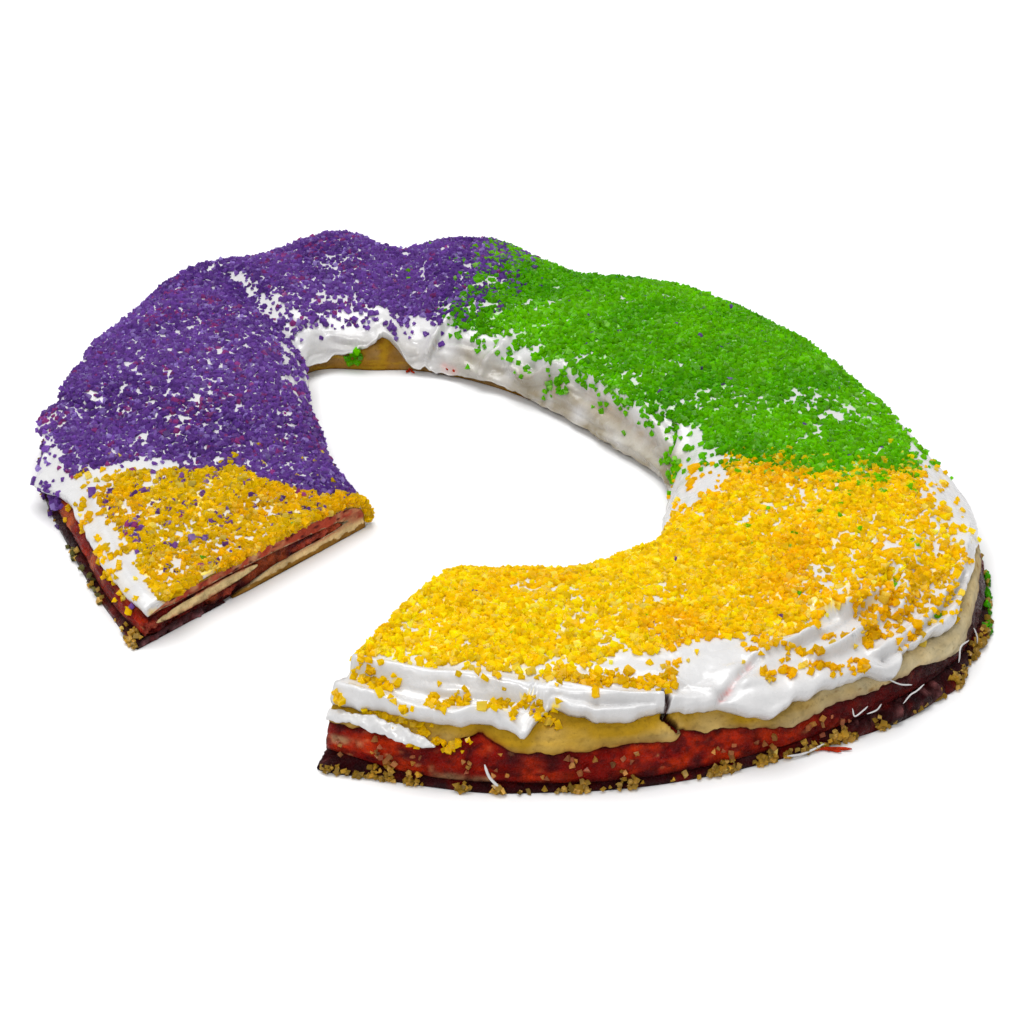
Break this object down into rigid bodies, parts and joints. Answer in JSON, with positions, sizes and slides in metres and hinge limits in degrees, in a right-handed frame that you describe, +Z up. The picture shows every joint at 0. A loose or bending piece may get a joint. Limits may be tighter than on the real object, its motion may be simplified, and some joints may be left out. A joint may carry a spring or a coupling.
{
  "type": "king cake",
  "caption": "Flat oval ring of filled pastry dough with a slice cut out, white icing and coarse sugar in purple, green and gold; layers show at the cuts.",
  "frame": {"origin": "middle of the cake's footprint, on the surface it rests on", "axes": "+Z up; +Y along the oval's long axis, towards the notch at the back; +X along its short axis; the slice is missing on the -X side, a little towards -Y"},
  "size_m": [0.2844, 0.3685, 0.0288],
  "materials": {
    "dough": "baked dough, pale gold at the lip and browned on the inner wall, dull",
    "inner_dough": "pale crumb stained pink at its edges, dull",
    "filling": "moist red fruit filling, glossy",
    "jam": "dark burgundy jam, wet gloss",
    "icing": "thick white icing, soft gloss",
    "sugar_yellow": "coarse translucent sugar, golden yellow",
    "sugar_green": "coarse translucent sugar, bright green",
    "sugar_purple": "coarse translucent sugar, deep violet"
  },
  "bodies": {
    "root": {"dough": "dough", "middle_dough": "inner_dough", "filling": "filling", "jam_rim": "jam", "icing": "icing", "lower_icing": "icing"}
  },
  "joints": []
}
